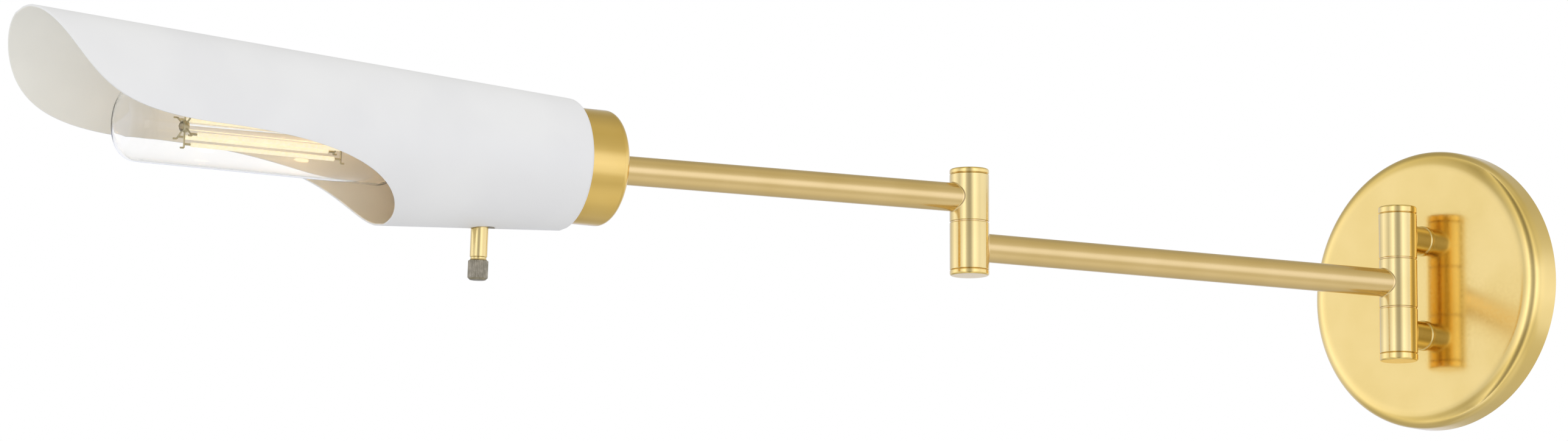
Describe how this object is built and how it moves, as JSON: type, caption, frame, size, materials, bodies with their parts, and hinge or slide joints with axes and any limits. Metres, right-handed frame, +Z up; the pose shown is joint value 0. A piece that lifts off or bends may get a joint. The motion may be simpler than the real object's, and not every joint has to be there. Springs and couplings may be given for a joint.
{
  "type": "swing arm wall sconce",
  "caption": "Wall-mounted reading sconce: round brass wall plate, double-jointed swing arm, long white conical metal shade scooped open underneath, tubular clear bulb and turn-knob switch.",
  "frame": {"origin": "centre of the wall plate's rear rim, on the wall's surface, midway between the bracket's wall screw slots", "axes": "+Z up, +Y into the wall, -Y out into the room, +X to the right for a viewer who faces the wall"},
  "size_m": [0.3415, 0.6786, 0.1346],
  "materials": {
    "polished_brass": "polished, lacquered",
    "satin_brass": "satin, lacquered",
    "zinc_steel": "zinc plated",
    "green_steel": "green earth screw",
    "wire_sleeve": "wire insulation",
    "fibre": "vulcanised fibre",
    "nylon": "natural nylon",
    "white_paint": "matt white powder coat",
    "black_resin": "moulded phenolic resin",
    "nickel_plate": "nickel plated",
    "clear_glass": "clear glass",
    "filament": "phosphor-coated filament",
    "knurled_pewter": "knurled, dark pewter plate"
  },
  "bodies": {
    "wall_mount": {"backplate": "polished_brass", "wall_bracket": "zinc_steel", "bracket_grub_screws": "zinc_steel", "earth_screw": "green_steel", "upper_post": "satin_brass", "lower_post": "satin_brass", "post_lock_washers": "zinc_steel", "post_nuts": "zinc_steel", "hinge_barrel_upper": "satin_brass", "hinge_barrel_lower": "satin_brass", "hinge_pin": "zinc_steel", "hinge_thrust_washers": "satin_brass", "wall_stop_pin": "zinc_steel", "hinge_spring_washer": "zinc_steel", "hinge_lock_nut": "zinc_steel", "hinge_caps": "polished_brass", "supply_leads": "wire_sleeve"},
    "inner_arm_link": {"hinge_barrel_swing": "satin_brass", "inner_arm": "satin_brass", "inner_arm_wires": "wire_sleeve", "elbow_barrel_lower": "satin_brass", "elbow_pin": "zinc_steel", "elbow_caps": "polished_brass", "elbow_thrust_washer": "satin_brass", "elbow_stop_pin": "zinc_steel", "elbow_spring_washer": "zinc_steel", "elbow_lock_nut": "zinc_steel"},
    "outer_arm_link": {"elbow_barrel_upper": "satin_brass", "outer_arm": "satin_brass", "head_nipple": "zinc_steel", "outer_arm_wires": "wire_sleeve", "swivel_washer": "fibre", "swivel_friction_washer": "nylon", "swivel_spring_washer": "zinc_steel", "head_stop_washer": "zinc_steel", "swivel_nut": "zinc_steel"},
    "head": {"cup": "polished_brass", "cup_stop_pin": "zinc_steel", "shade": "white_paint", "shade_screws": "zinc_steel", "socket_nipple": "zinc_steel", "socket_nut": "zinc_steel", "socket_cap": "satin_brass", "switch_body": "black_resin", "socket_shell": "satin_brass", "insulating_sleeve": "fibre", "screw_shell": "nickel_plate", "centre_contact": "satin_brass", "switch_bushing": "satin_brass", "bulb_glass": "clear_glass", "bulb_base": "nickel_plate", "bulb_base_insulator": "black_resin", "bulb_tip_contact": "nickel_plate", "bulb_stem": "clear_glass", "filament_supports": "zinc_steel", "filaments": "filament"},
    "switch_knob": {"knob_stem": "satin_brass", "knob_grip": "knurled_pewter", "switch_spindle": "zinc_steel", "switch_cam": "nylon"}
  },
  "joints": [
    {"name": "wall_swing", "type": "hinge", "parent": "wall_mount", "child": "inner_arm_link", "pos_m": [0, -0.0345, 0], "axis": [0, 0, 1], "range_deg": [-70.5, 109.5]},
    {"name": "elbow_swing", "type": "hinge", "parent": "inner_arm_link", "child": "outer_arm_link", "pos_m": [-0.07611, -0.24942, 0], "axis": [0, 0, 1], "range_deg": [-147.5, 152.5]},
    {"name": "head_roll", "type": "hinge", "parent": "outer_arm_link", "child": "head", "pos_m": [-0.15077, -0.43421, 0.02184], "axis": [-0.3745, -0.927, 0.0175], "range_deg": [-157, 163]},
    {"name": "switch_turn", "type": "hinge", "parent": "head", "child": "switch_knob", "pos_m": [-0.16582, -0.47147, 0.02254], "axis": [-0.0551, 0.0034, -0.9985], "continuous": true}
  ]
}
